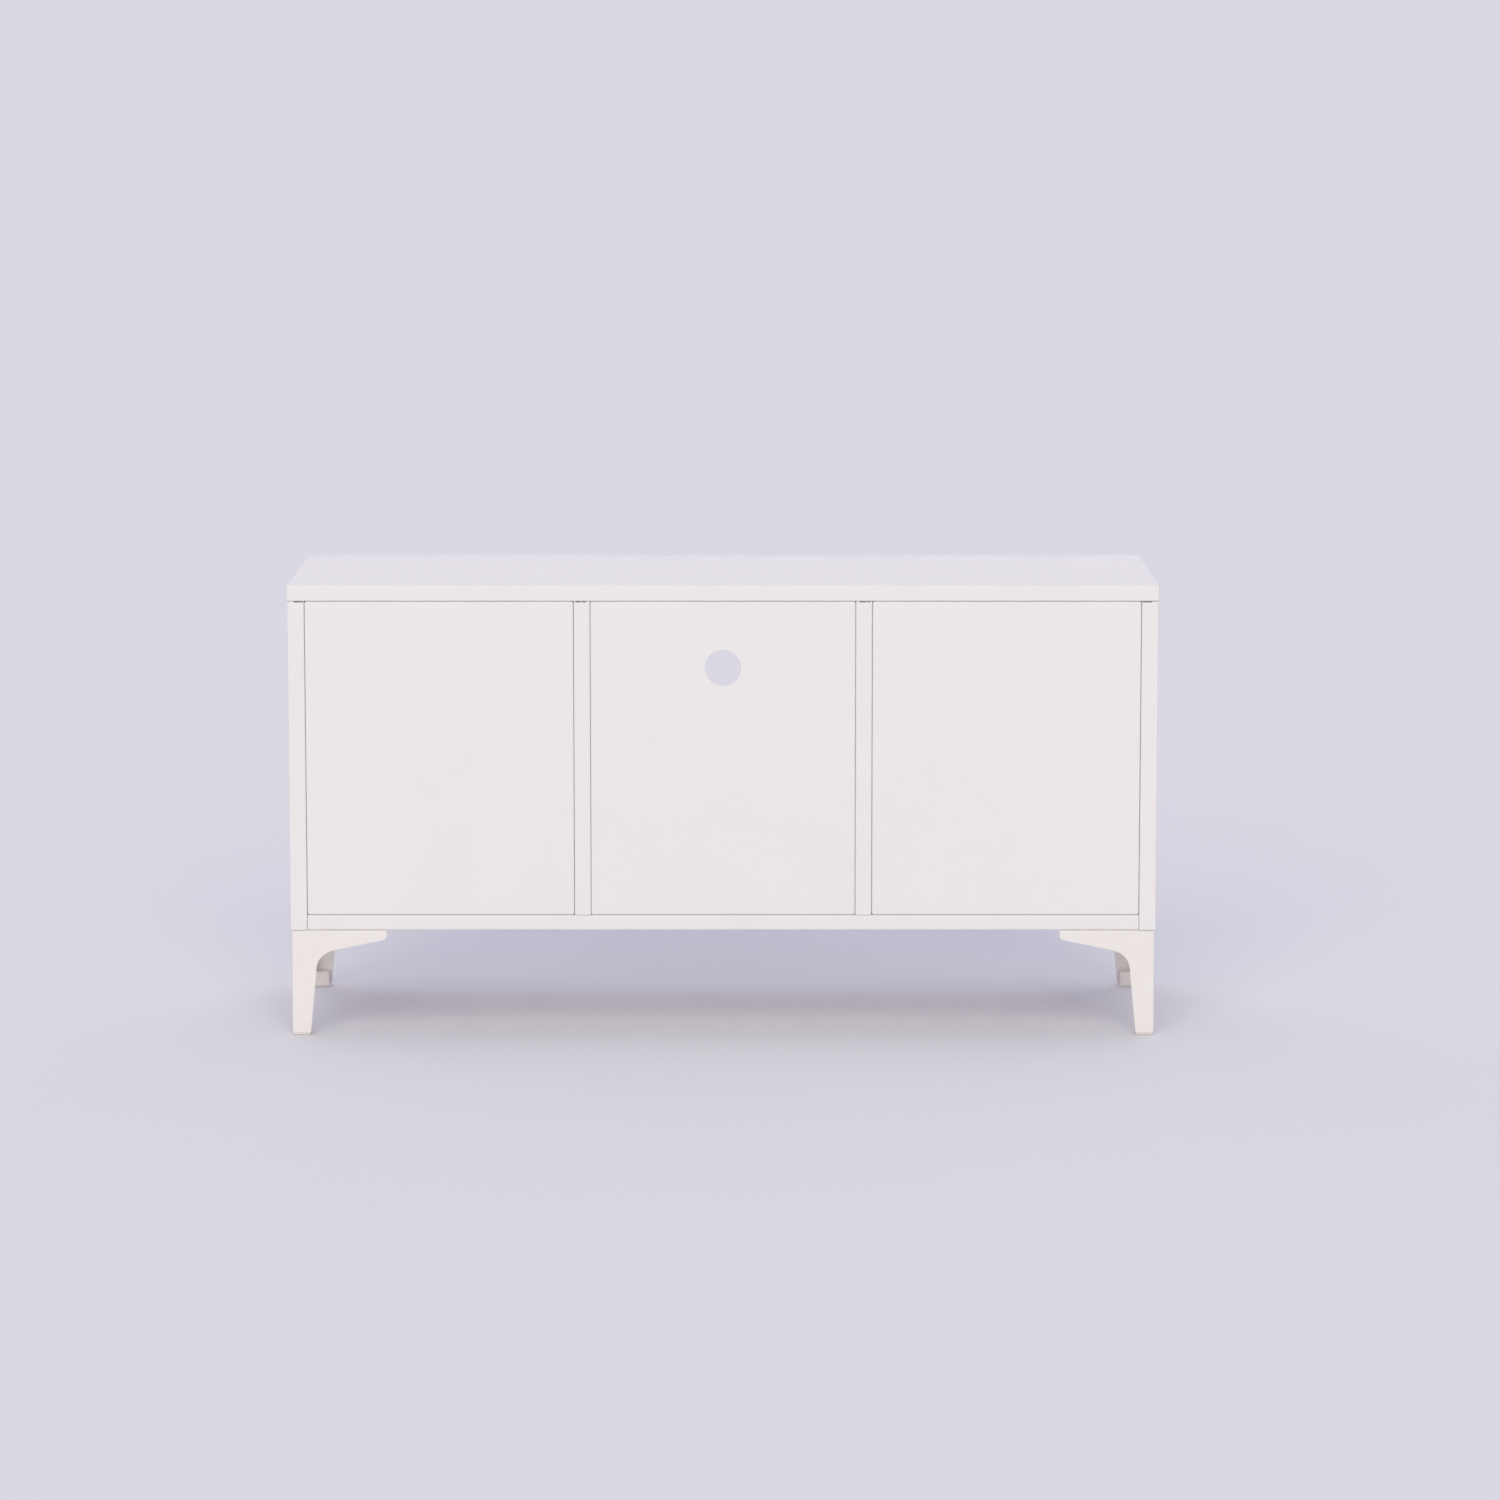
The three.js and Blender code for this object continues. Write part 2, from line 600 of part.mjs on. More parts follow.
const catchX = freeEdgeX - CATCH.fromEdge;
const strikeY = doorBackY + GAP;
const catchY = strikeY + STRIKE.thick + 2 * GAP + CATCH.deep / 2;
const strikeZ = doorTop - DOOR_LIP / 2;
const stopY = doorBackY + 2 * GAP + STOP.deep / 2;
const strike = softBlock(STRIKE.width, STRIKE.high, -STRIKE.thick, 0, 0.3, 1.5);
addPair('magnet_catch', makeCatch(), 'greyPlastic', { at: [catchX, catchY, carcassTop] });
addPair('strike_plate', strike, 'zincSteel', { at: [catchX, strikeY, strikeZ], turn: FACE_FRONT });
addPair('door_stop', softBlock(STOP.width, STOP.deep, 0, STOP.high, 1, 2), 'rubber', {
  at: [catchX, stopY, floorZ + GAP],
});

// ---- Legs ----------------------------------------------------------------------------------------------

// The outline of one wing of a leg: a long arm under the cabinet that sweeps down into a tapered foot.
function wingOutline() {
  const top = LEG_HEIGHT - GAP;
  const outline = new THREE.Shape();
  outline.moveTo(-LEG_SHEET, FOOT_HEIGHT);
  outline.lineTo(LEG.footWidth, FOOT_HEIGHT);
  outline.lineTo(...LEG.filletEnd);
  outline.quadraticCurveTo(...LEG.filletCorner, ...LEG.filletStart);
  outline.lineTo(...LEG.tipCorner);
  outline.quadraticCurveTo(LEG.arm, LEG.tipCorner[1] + 1.5, LEG.arm, LEG.tipHeight);
  outline.lineTo(LEG.arm, top + LEG_SHEET);
  outline.lineTo(-LEG_SHEET, top + LEG_SHEET);
  outline.closePath();
  return outline;
}

// A leg is one folded plate: two wings at a right angle, and a flange along their tops. Its outer corner is
// on the Z axis and its wings run along +X and +Y.
function makeLeg() {
  const top = LEG_HEIGHT - GAP;
  const span = 2 * LEG.arm;
  const shift = new THREE.Matrix4().makeTranslation(span / 2, span / 2, 0);
  const cornerBlock = (grow, high, edge, corner) => {
    const outline = roundedRectangle(span / 2 + grow - edge, span / 2 + grow - edge, corner - edge);
    const geometry = new THREE.ExtrudeGeometry(outline, {
      depth: high,
      bevelThickness: edge,
      bevelSize: edge,
      bevelSegments: EDGE_FACETS,
      curveSegments: EDGE_FACETS / 2,
    });
    geometry.translate(0, 0, -edge);
    return solid(geometry.applyMatrix4(shift));
  };
  const outside = cornerBlock(0, top, BEND, LEG_CORNER + 0.5);
  const inside = cornerBlock(-LEG_SHEET, top - LEG_SHEET, 0.4, 1);
  const wing = wingOutline();
  const sweep = (axis) => prism(wing, axis, -LEG_SHEET, LEG_FLANGE, SWEEP_FACETS);
  const { hole, along, across } = LEG_BOLT;
  return outside
    .subtract(inside)
    .intersect(sweep('x').add(sweep('y')))
    .subtract(round('z', hole, [along, across, top], 4 * LEG_SHEET))
    .subtract(round('z', hole, [across, along, top], 4 * LEG_SHEET));
}

// A moulded cap under the foot, with a plug that grips between the wings.
function makeFootCap() {
  const { width, edge, corner, plugTop } = FOOT;
  const pad = softBlock(width, width, 0, 4 * edge, edge, corner);
  const spare = block([-width, -width, FOOT_HEIGHT - GAP], [width, width, 5 * edge]);
  const wall = 2 * (LEG_SHEET + GAP);
  const plug = softBlock(width - wall, width - wall, edge, plugTop, 1, 2);
  return pad.subtract(spare).add(plug);
}

const leg = makeLeg();
const footCap = makeFootCap();
const legBolt = makeScrew({
  radius: LEG_BOLT.radius,
  head: LEG_BOLT.head,
  high: LEG_BOLT.headHigh,
  length: LEG_BOLT.length,
});
const boltZ = LEG_HEIGHT - GAP - LEG_SHEET - GAP;
const corners = [
  { name: 'front_left', sign: [-1, -1], quarterTurns: 0 },
  { name: 'front_right', sign: [1, -1], quarterTurns: 1 },
  { name: 'back_right', sign: [1, 1], quarterTurns: 2 },
  { name: 'back_left', sign: [-1, 1], quarterTurns: 3 },
];

for (const { name, sign, quarterTurns } of corners) {
  const corner = [sign[0] * (sideX - LEG_INSET), sign[1] * (faceY - LEG_INSET)];
  const turn = [0, 0, (quarterTurns * Math.PI) / 2];
  const inward = (alongX, alongY, z) => [corner[0] - sign[0] * alongX, corner[1] - sign[1] * alongY, z];
  const { along, across } = LEG_BOLT;
  add(`${name}_leg`, leg, 'powderCoat', { at: [...corner, 0], turn });
  add(`${name}_foot_cap`, footCap, 'whiteNylon', { at: inward(FOOT.width / 2, FOOT.width / 2, 0) });
  add(`${name}_leg_bolt_a`, legBolt, 'zincSteel', { at: inward(along, across, boltZ) });
  add(`${name}_leg_bolt_b`, legBolt, 'zincSteel', { at: inward(across, along, boltZ) });
}

export default tvStand;
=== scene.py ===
# %% [markdown]
# # A low television cabinet of folded white steel
# The cabinet comes as a finished frame: every sheet, rail, leg, hinge and bolt is already there at its real
# size. What is left is what a paint shop, a moulding shop and a lathe would add: the powder coat and the
# soft edges that it gives to cut sheet, the turned knobs and the moulded feet. Then it needs a floor and
# light.

# %% Load the frame
import json
import math

import bmesh
import bpy
from mathutils import Matrix, Vector


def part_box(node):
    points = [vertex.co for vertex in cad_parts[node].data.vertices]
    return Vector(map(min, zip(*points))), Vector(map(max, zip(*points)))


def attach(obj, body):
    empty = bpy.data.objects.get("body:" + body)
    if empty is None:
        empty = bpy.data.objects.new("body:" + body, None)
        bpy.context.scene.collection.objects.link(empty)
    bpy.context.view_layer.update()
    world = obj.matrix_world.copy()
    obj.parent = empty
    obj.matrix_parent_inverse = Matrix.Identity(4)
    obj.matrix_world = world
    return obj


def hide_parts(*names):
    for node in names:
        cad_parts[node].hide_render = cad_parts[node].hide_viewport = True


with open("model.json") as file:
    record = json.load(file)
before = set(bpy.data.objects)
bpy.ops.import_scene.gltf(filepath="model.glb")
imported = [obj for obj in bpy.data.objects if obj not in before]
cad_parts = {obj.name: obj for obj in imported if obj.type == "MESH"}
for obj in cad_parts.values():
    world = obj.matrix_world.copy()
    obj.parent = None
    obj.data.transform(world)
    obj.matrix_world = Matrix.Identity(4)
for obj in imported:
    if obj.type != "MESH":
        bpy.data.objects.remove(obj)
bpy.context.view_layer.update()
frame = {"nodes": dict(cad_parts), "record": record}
MM = 0.001
SIDES = ("left", "right")
CORNERS = ("front_left", "front_right", "back_right", "back_left")

# %% [markdown]
# ## The view
# The cabinet is looked at from behind, because its back is a face worth showing: three flat panels between
# folded rails. A long lens far away keeps the upright lines upright. A short lens close by would fan them
# out and make the cabinet look smaller than it is. The distance is counted from the back edge of the top.

# %% Set up the camera
LENS = 133.6
SENSOR = 36
CAMERA_BACK = 7.598
CAMERA_SIDE = -0.0372
CAMERA_HEIGHT = 1.458
CAMERA_DOWN = math.radians(7.928)
FARTHEST_SEEN = 1000

camera_data = bpy.data.cameras.new("camera")
camera_data.lens = LENS
camera_data.sensor_width = SENSOR
camera_data.clip_end = FARTHEST_SEEN
camera = bpy.data.objects.new("camera", camera_data)
camera.location = (CAMERA_SIDE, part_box("top_panel")[1].y + CAMERA_BACK, CAMERA_HEIGHT)
camera.rotation_euler = (math.pi / 2 - CAMERA_DOWN, 0, math.pi)
bpy.context.scene.collection.objects.link(camera)
bpy.context.scene.camera = camera
print("camera at", [round(v, 3) for v in camera.location])

# %% [markdown]
# ## Materials out of nodes
# Each finish is a small graph of nodes. These helpers keep the graphs readable: one starts a material, one
# adds a node and fills its inputs with numbers or with other nodes' outputs, and one fills the shader.

# %% Node helpers
def start_material(name):
    """A new node material: returns it, its node tree and its shader."""
    material = bpy.data.materials.new(name)
    material.use_nodes = True
    return material, material.node_tree, material.node_tree.nodes["Principled BSDF"]


def add_node(tree, kind, inputs, output=0, **settings):
    """Adds a node with its settings and inputs, and returns the chosen output socket."""
    node = tree.nodes.new(kind)
    for key, value in settings.items():
        setattr(node, key, value)
    for key, value in inputs.items():
        if isinstance(value, bpy.types.NodeSocket):
            tree.links.new(value, node.inputs[key])
        else:
            node.inputs[key].default_value = value
    return node.outputs[output]


def set_shader(tree, shader, **inputs):
    """Fills the shader's inputs: plain values directly, node outputs as links."""
    for key, value in inputs.items():
        socket = shader.inputs[key.replace("_", " ")]
        if isinstance(value, bpy.types.NodeSocket):
            tree.links.new(value, socket)
        else:
            socket.default_value = value


# %% [markdown]
# ## Patterns
# All surface detail here is noise at a real size, given in blobs to the metre. It reads each piece's own
# coordinates, so the pattern stays on a door when the door turns. A noise value keeps to the middle of its
# range, so it is stretched before it picks between two colours, and it is a height when it feeds a bump.

# %% Pattern helpers
def own_place(tree):
    """Coordinates in metres that stay with the piece when it moves."""
    return add_node(tree, "ShaderNodeTexCoord", {}, output="Object")


def noise(tree, place, scale, detail=2.0, roughness=0.5):
    """Soft random variation between about 0.3 and 0.7, `scale` blobs to the metre."""
    inputs = {"Vector": place, "Scale": scale, "Detail": detail, "Roughness": roughness}
    return add_node(tree, "ShaderNodeTexNoise", inputs)


def between(tree, value, low, high, from_low=0.3, from_high=0.7):
    """Stretches a noise value to a chosen range."""
    inputs = {"Value": value, "From Min": from_low, "From Max": from_high, "To Min": low, "To Max": high}
    return add_node(tree, "ShaderNodeMapRange", inputs)


def blend_colours(tree, factor, first, second):
    """The first colour where the factor is 0, the second where it is 1."""
    node = tree.nodes.new("ShaderNodeMix")
    node.data_type = "RGBA"
    tree.links.new(factor, node.inputs["Factor"])
    for socket, value in ((node.inputs[6], first), (node.inputs[7], second)):
        if isinstance(value, bpy.types.NodeSocket):
            tree.links.new(value, socket)
        else:
            socket.default_value = (*value, 1)
    return node.outputs[2]


def bump(tree, height, distance, strength=1.0, below=None):
    """A bumpy normal from a height value, on top of another bump if one is given."""
    inputs = {"Height": height, "Distance": distance, "Strength": strength}
    if below is not None:
        inputs["Normal"] = below
    return add_node(tree, "ShaderNodeBump", inputs)


# %% [markdown]
# ## Powder coat
# The steel is sprayed with a dry, charged polyester powder and baked, so the colour is as thick as paper. It
# flows into a skin with a fine orange peel, and it covers a cut edge with a soft bead.
#
# One could paint this as an image, but nodes give every sheet its own pattern at its true scale. The peel is
# two sizes of noise in the bump. Ambient occlusion finds the inside corners, and a greyer colour is painted
# there as shade. A slow, shallow wave stands for the way in which thin sheet never lies quite flat. The legs
# are thick plate, so theirs is much weaker, and they come from another batch of powder, a shade warmer.

# %% Make the powder coat
COAT_WHITE = (0.870, 0.832, 0.842)
LEG_WHITE = (0.880, 0.836, 0.818)
COAT_IN_PAINTED_SHADE = (0.700, 0.664, 0.668)
CLOUD_SHADE = 0.982
GRAIN_SHADE = 0.920
CLOUDS_PER_METRE = 9.0
GRAINS_PER_METRE = 2600.0
WAVES_PER_METRE = 3.5
PEELS_PER_METRE = (320.0, 1300.0)
PEEL_HEIGHTS = (0.20 * MM, 0.07 * MM)
SHEET_WAVE = 1.5 * MM
PLATE_WAVE = 0.2 * MM
SATIN = (0.46, 0.58)
COAT_GLINT = 0.36
CORNER_REACH = 7 * MM


def make_powder_coat(name, white, wave_height):
    """White satin powder coat: peel, clouds, grain and painted shade in inside corners."""
    material, tree, shader = start_material(name)
    place = own_place(tree)

    cloud = tuple(CLOUD_SHADE * value for value in white)
    grain = tuple(GRAIN_SHADE * value for value in white)
    clouds = between(tree, noise(tree, place, CLOUDS_PER_METRE, detail=4.0), 0.0, 1.0)
    grains = between(tree, noise(tree, place, GRAINS_PER_METRE, detail=1.0), 0.0, 0.5, 0.5, 0.8)
    colour = blend_colours(tree, clouds, white, cloud)
    colour = blend_colours(tree, grains, colour, grain)

    # Painted shade: where ambient occlusion finds inside corners, the white is blended towards a greyer
    # colour.
    reach = {"Distance": CORNER_REACH}
    openness = add_node(tree, "ShaderNodeAmbientOcclusion", reach, output="AO", samples=6, only_local=True)
    painted_corner_shade = between(tree, openness, 0.55, 0.0, 0.15, 0.8)
    colour = blend_colours(tree, painted_corner_shade, colour, COAT_IN_PAINTED_SHADE)

    coarse = noise(tree, place, PEELS_PER_METRE[0], detail=1.0)
    fine = noise(tree, place, PEELS_PER_METRE[1], detail=1.5)
    skin = bump(tree, noise(tree, place, WAVES_PER_METRE, detail=1.0), wave_height)
    skin = bump(tree, coarse, PEEL_HEIGHTS[0], below=skin)
    skin = bump(tree, fine, PEEL_HEIGHTS[1], below=skin)
    satin = between(tree, coarse, *SATIN)
    set_shader(tree, shader, Base_Color=colour, Roughness=satin, Normal=skin)
    set_shader(tree, shader, Specular_IOR_Level=COAT_GLINT)
    return material


sheet_coat = make_powder_coat("powder_coat_on_sheet", COAT_WHITE, SHEET_WAVE)
plate_coat = make_powder_coat("powder_coat_on_plate", LEG_WHITE, PLATE_WAVE)
print("coats:", sheet_coat.name, "and", plate_coat.name)

# %% [markdown]
# ## Zinc plate
# Screws, hinge pins and strike plates are zinc plated. It is a metal, so its colour is in its reflection: a
# cold grey that turns a little blue or straw yellow where the film is thicker. The drawing lines of the wire
# and the strip show through it, so the noise is squeezed along one direction.

# %% Make the zinc plate
ZINC_BLUE = (0.60, 0.63, 0.68)
ZINC_STRAW = (0.69, 0.66, 0.59)
FILMS_PER_METRE = 180.0
LINES_PER_METRE = 900.0
LINE_SQUEEZE = (1.0, 1.0, 9.0)
LINE_HEIGHT = 0.01 * MM
ZINC_ROUGHNESS = (0.22, 0.40)


def make_zinc():
    """Bright zinc plate with a patchy film and fine drawing lines."""
    material, tree, shader = start_material("zinc_plate")
    place = own_place(tree)
    film = between(tree, noise(tree, place, FILMS_PER_METRE, detail=3.0), 0.0, 1.0)
    colour = blend_colours(tree, film, ZINC_BLUE, ZINC_STRAW)
    squeezed = add_node(tree, "ShaderNodeMapping", {"Vector": place, "Scale": LINE_SQUEEZE})
    lines = noise(tree, squeezed, LINES_PER_METRE, detail=4.0, roughness=0.65)
    skin = bump(tree, lines, LINE_HEIGHT, 0.5)
    dullness = between(tree, lines, *ZINC_ROUGHNESS)
    set_shader(tree, shader, Base_Color=colour, Metallic=1.0, Roughness=dullness, Normal=skin)
    return material


zinc = make_zinc()
print("metal:", zinc.name)

# %% [markdown]
# ## Nylon, plastic and rubber
# The moulded pieces take the spark-eroded grain of their moulds, so one recipe serves all three, with other
# numbers. Nylon lets some light in, which softens it, so it gets a little subsurface scattering. Rubber has
# almost no gloss and carries a pale bloom, so its two colours lie further apart.

# %% Make the mouldings' finishes
NYLON = ((0.84, 0.79, 0.76), (0.80, 0.75, 0.72))
PLASTIC = ((0.36, 0.36, 0.37), (0.31, 0.31, 0.32))
RUBBER = ((0.115, 0.115, 0.120), (0.175, 0.170, 0.165))
TINTS_PER_METRE = 60.0
SMOOTHER_BY = 0.06
ROUGHER_BY = 0.08
SCATTER_DEPTH = 2 * MM


def make_moulding(name, colour, cloud, roughness, grains_per_metre, grain_height, scatter=0.0):
    """A moulded finish: two blended colours and the grain of the mould."""
    material, tree, shader = start_material(name)
    place = own_place(tree)
    clouds = between(tree, noise(tree, place, TINTS_PER_METRE, detail=3.0), 0.0, 1.0)
    tint = blend_colours(tree, clouds, colour, cloud)
    grain = noise(tree, place, grains_per_metre, detail=2.0, roughness=0.6)
    skin = bump(tree, grain, grain_height, 0.6)
    rough = between(tree, grain, roughness - SMOOTHER_BY, roughness + ROUGHER_BY)
    set_shader(tree, shader, Base_Color=tint, Roughness=rough, Normal=skin)
    set_shader(tree, shader, Subsurface_Weight=scatter, Subsurface_Scale=SCATTER_DEPTH)
    return material


nylon = make_moulding("white_nylon", *NYLON, 0.48, 1900.0, 0.04 * MM, scatter=0.12)
plastic = make_moulding("grey_plastic", *PLASTIC, 0.50, 1500.0, 0.06 * MM)
rubber = make_moulding("grey_rubber", *RUBBER, 0.80, 1200.0, 0.08 * MM)
print("mouldings:", [material.name for material in (nylon, plastic, rubber)])

# %% [markdown]
# ## Soft edges on cut sheet
# A laser leaves the edge of a sheet square, and the coat rounds it. A square edge never catches the light,
# so without this step the cabinet looks cut out of paper. The frame's meshes stay as they are, and the edges
# come from modifiers. Weld and Decimate join the triangles of each flat. Bevel then rounds only what is
# sharper than a fold. Weighted Normal keeps the flats flat and lets the light roll round the folds.

# %% Helpers that soften a piece
SHARPER_THAN_A_FOLD = math.radians(50)
SAME_FLAT = math.radians(0.4)
SAME_POINT = 0.002 * MM
BEAD_STEPS = 2


def make_smoother():
    """A geometry node group that shades every face smooth."""
    group = bpy.data.node_groups.new("shade_smooth", "GeometryNodeTree")
    group.interface.new_socket("Geometry", in_out="INPUT", socket_type="NodeSocketGeometry")
    group.interface.new_socket("Geometry", in_out="OUTPUT", socket_type="NodeSocketGeometry")
    start = group.nodes.new("NodeGroupInput")
    smooth = group.nodes.new("GeometryNodeSetShadeSmooth")
    end = group.nodes.new("NodeGroupOutput")
    group.links.new(start.outputs[0], smooth.inputs["Geometry"])
    group.links.new(smooth.outputs[0], end.inputs[0])
    return group


def keep_flats(piece):
    """Shades the large faces flat and lets only the rounded edges turn the light."""
    normals = piece.modifiers.new("keep_flats", "WEIGHTED_NORMAL")
    normals.weight = 100
    normals.keep_sharp = False


smoother = make_smoother()


def soften(piece, bead):
    """Rounds a piece's cut edges to `bead` metres, and shades its folds."""
    weld = piece.modifiers.new("weld", "WELD")
    weld.merge_threshold = SAME_POINT
    flats = piece.modifiers.new("join_flats", "DECIMATE")
    flats.decimate_type = "DISSOLVE"
    flats.angle_limit = SAME_FLAT
    shade = piece.modifiers.new("shade_smooth", "NODES")
    shade.node_group = smoother
    edges = piece.modifiers.new("round_cut_edges", "BEVEL")
    edges.width = bead
    edges.segments = BEAD_STEPS
    edges.limit_method = "ANGLE"
    edges.angle_limit = SHARPER_THAN_A_FOLD
    keep_flats(piece)


print("node group:", smoother.name)

# %% [markdown]
# ## Finish the frame
# The frame's record names the material of every node, so the finishes are handed out by that list. Only the
# legs are told apart by name. A bead on sheet is a little wider than the coat is thick. Plate is deburred
# before it is coated, so the legs' edges are rounder than the sheets'.

# %% Finish every node
FINISHES = {
    "powder_coat": (sheet_coat, 0.18 * MM),
    "white_nylon": (nylon, 0.15 * MM),
    "grey_plastic": (plastic, 0.20 * MM),
    "rubber": (rubber, 0.30 * MM),
    "zinc_steel": (zinc, 0.10 * MM),
}
LEG_BEAD = 0.45 * MM
slot_of = {part["node"]: part["material_slot"] for part in frame["record"]["subparts"]}

for name, node in frame["nodes"].items():
    finish, bead = FINISHES[slot_of[name]]
    if name.endswith("_leg"):
        finish = plate_coat
        bead = LEG_BEAD
    node.data.materials.clear()
    node.data.materials.append(finish)
    soften(node, bead)
print("finished nodes:", len(slot_of))

# %% [markdown]
# ## New pieces out of rings
# The round pieces are turned and the moulded ones have round corners. Both can be made from rings of points
# that are joined one to the next. Solid pieces are closed by a face at each end. A piece with a bore is
# closed by joining its last ring to its first. Either way the mesh is closed, as a real piece is.

# %% Helpers that join rings and place pieces
def close_mesh(name, build):
    """Turns the faces outwards, shades them smooth and returns the mesh."""
    bmesh.ops.recalc_face_normals(build, faces=build.faces)
    for face in build.faces:
        face.smooth = True
    mesh = bpy.data.meshes.new(name)
    build.to_mesh(mesh)
    build.free()
    return mesh


def join_rings(name, rings, bored=False):
    """A closed smooth mesh through rings of points, each in the same order."""
    build = bmesh.new()
    rows = [[build.verts.new(point) for point in ring] for ring in rings]
    pairs = list(zip(rows, rows[1:]))
    if bored:
        pairs.append((rows[-1], rows[0]))
    else:
        build.faces.new(rows[0])
        build.faces.new(rows[-1])
    for low, high in pairs:
        for i in range(len(low)):
            j = (i + 1) % len(low)
            build.faces.new((low[i], low[j], high[j], high[i]))
    return close_mesh(name, build)


def place_piece(mesh, finish, body, replaced=None):
    """Puts a mesh in the scene with its finish, and lets it ride on a body."""
    piece = bpy.data.objects.new(mesh.name, mesh)
    bpy.context.scene.collection.objects.link(piece)
    mesh.materials.append(finish)
    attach(piece, body)
    if replaced:
        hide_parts(replaced)
    return piece


# %% [markdown]
# ## Turning
# A lathe's form tool has no sharp corners. So an outline is a list of corners, each with its distance from
# the axis, its height and its own radius, in millimetres, and every corner becomes a small arc. A radius of
# nought keeps the corner sharp. The outline then goes round the axis.

# %% Helpers that turn an outline
def round_corners(corners, steps):
    """Points along a line of (radius, height, corner radius), with an arc at each corner."""
    points = []
    for i, (u, v, radius) in enumerate(corners):
        here = Vector((u, v))
        if radius == 0:
            points.append(here)
            continue
        back = (Vector(corners[i - 1][:2]) - here).normalized()
        ahead = (Vector(corners[i + 1][:2]) - here).normalized()
        half = back.angle(ahead) / 2
        centre = here + (back + ahead).normalized() * radius / math.sin(half)
        start = here + back * radius / math.tan(half) - centre
        sweep = math.pi - 2 * half
        turn = 1 if back.cross(ahead) < 0 else -1
        for k in range(steps + 1):
            points.append(centre + Matrix.Rotation(turn * sweep * k / steps, 2) @ start)
    return points


def turn_piece(name, corners, origin, axis, sides, steps, bored=False):
    """Turns an outline about an axis through origin."""
    tilt = Vector(axis).to_track_quat("Z", "Y").to_matrix()
    angles = [2 * math.pi * k / sides for k in range(sides)]
    rings = []
    for radius, height in round_corners(corners, steps):
        ring = [Vector((radius * math.cos(a), radius * math.sin(a), height)) * MM for a in angles]
        rings.append([Vector(origin) + tilt @ point for point in ring])
    return join_rings(name, rings, bored)


# %% [markdown]
# ## The knobs
# Each door has one turned knob. It has a foot that sits on the door, a waist for two fingers, and a domed
# head with a rolled rim. The frame's knob has the right size but only a few flats, so a smooth one takes its
# place. Its reach and its head are those of that knob's box, so it can't grow out of it. The outline stops
# just short of the axis, where one small flat face closes it.

# %% Turn the knobs
KNOB_SIDES = 72
KNOB_STEPS = 6
FOOT_SHARE = 0.65
WAIST_SHARE = 0.48
TIP_FLAT = 0.5

for side in SIDES:
    low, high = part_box(f"{side}_door_knob")
    reach = (high.y - low.y) / MM
    head = (high.x - low.x) / 2 / MM
    outline = [
        (TIP_FLAT, 0.0, 0),
        (FOOT_SHARE * head, 0.0, 0.3),
        (FOOT_SHARE * head, 1.6, 1.0),
        (WAIST_SHARE * head, 3.4, 2.6),
        (WAIST_SHARE * head, 0.46 * reach, 5.0),
        (head, 0.70 * reach, 2.0),
        (head, 0.88 * reach, 1.8),
        (0.72 * head, 0.985 * reach, 5.0),
        (TIP_FLAT, reach, 0),
    ]
    foot = ((low.x + high.x) / 2, high.y, (low.z + high.z) / 2)
    knob = turn_piece(f"{side}_turned_knob", outline, foot, (0, -1, 0), KNOB_SIDES, KNOB_STEPS)
    place_piece(knob, plate_coat, f"{side}_door", f"{side}_door_knob")
    print(side, "knob reaches", round(reach, 1), "mm and is", round(2 * head, 1), "mm wide")

# %% [markdown]
# ## The foot caps
# A moulded cap closes each leg. Its pad touches the floor, and its edge is rounded so that it slides without
# catching. A plug above the pad grips inside the folded leg. Stacked rings give it corners that are round in
# plan and in height at once, which two crossing bevels would only come close to.

# %% Mould the foot caps
CAP = {"edge": 2.4, "corner": 3.2, "pad": 3.4, "ease": 0.2, "least corner": 0.5}
PLUG = {"wall": 2.3, "corner": 1.5, "chamfer": 1.0, "top corner": 0.8}
ARC_STEPS = 6


def rounded_square(centre, half, corner, z):
    """A ring of points: a square of 2 * half millimetres with round corners."""
    ring = []
    for quarter in range(4):
        start = quarter * math.pi / 2
        middle = Matrix.Rotation(start, 2) @ Vector((half - corner, half - corner))
        for k in range(ARC_STEPS + 1):
            angle = start + math.pi / 2 * k / ARC_STEPS
            point = middle + Vector((math.cos(angle), math.sin(angle))) * corner
            ring.append(Vector((centre.x + point.x * MM, centre.y + point.y * MM, z * MM)))
    return ring


def mould_cap(name, low, high):
    """A foot cap: a pad with a rounded lower edge, and a plug with a chamfered top."""
    centre = (low + high) / 2
    half = (high.x - low.x) / 2 / MM
    plug = half - PLUG["wall"]
    top = high.z / MM
    rings = []
    for k in range(ARC_STEPS + 1):
        angle = math.pi / 2 * k / ARC_STEPS
        inset = CAP["edge"] * (1 - math.sin(angle))
        rise = CAP["edge"] * (1 - math.cos(angle))
        round_by = max(CAP["corner"] - inset, CAP["least corner"])
        rings.append(rounded_square(centre, half - inset, round_by, rise))
    rings.append(rounded_square(centre, half, CAP["corner"], CAP["pad"] - CAP["ease"]))
    rings.append(rounded_square(centre, half - CAP["ease"], CAP["corner"] - CAP["ease"], CAP["pad"]))
    rings.append(rounded_square(centre, plug, PLUG["corner"], CAP["pad"]))
    rings.append(rounded_square(centre, plug, PLUG["corner"], top - PLUG["chamfer"]))
    rings.append(rounded_square(centre, plug - PLUG["chamfer"], PLUG["top corner"], top))
    return join_rings(name, rings)


for corner in CORNERS:
    replaced = f"{corner}_foot_cap"
    cap = mould_cap(f"{corner}_moulded_cap", *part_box(replaced))
    keep_flats(place_piece(cap, nylon, "cabinet", replaced))
print("foot caps:", len(CORNERS))

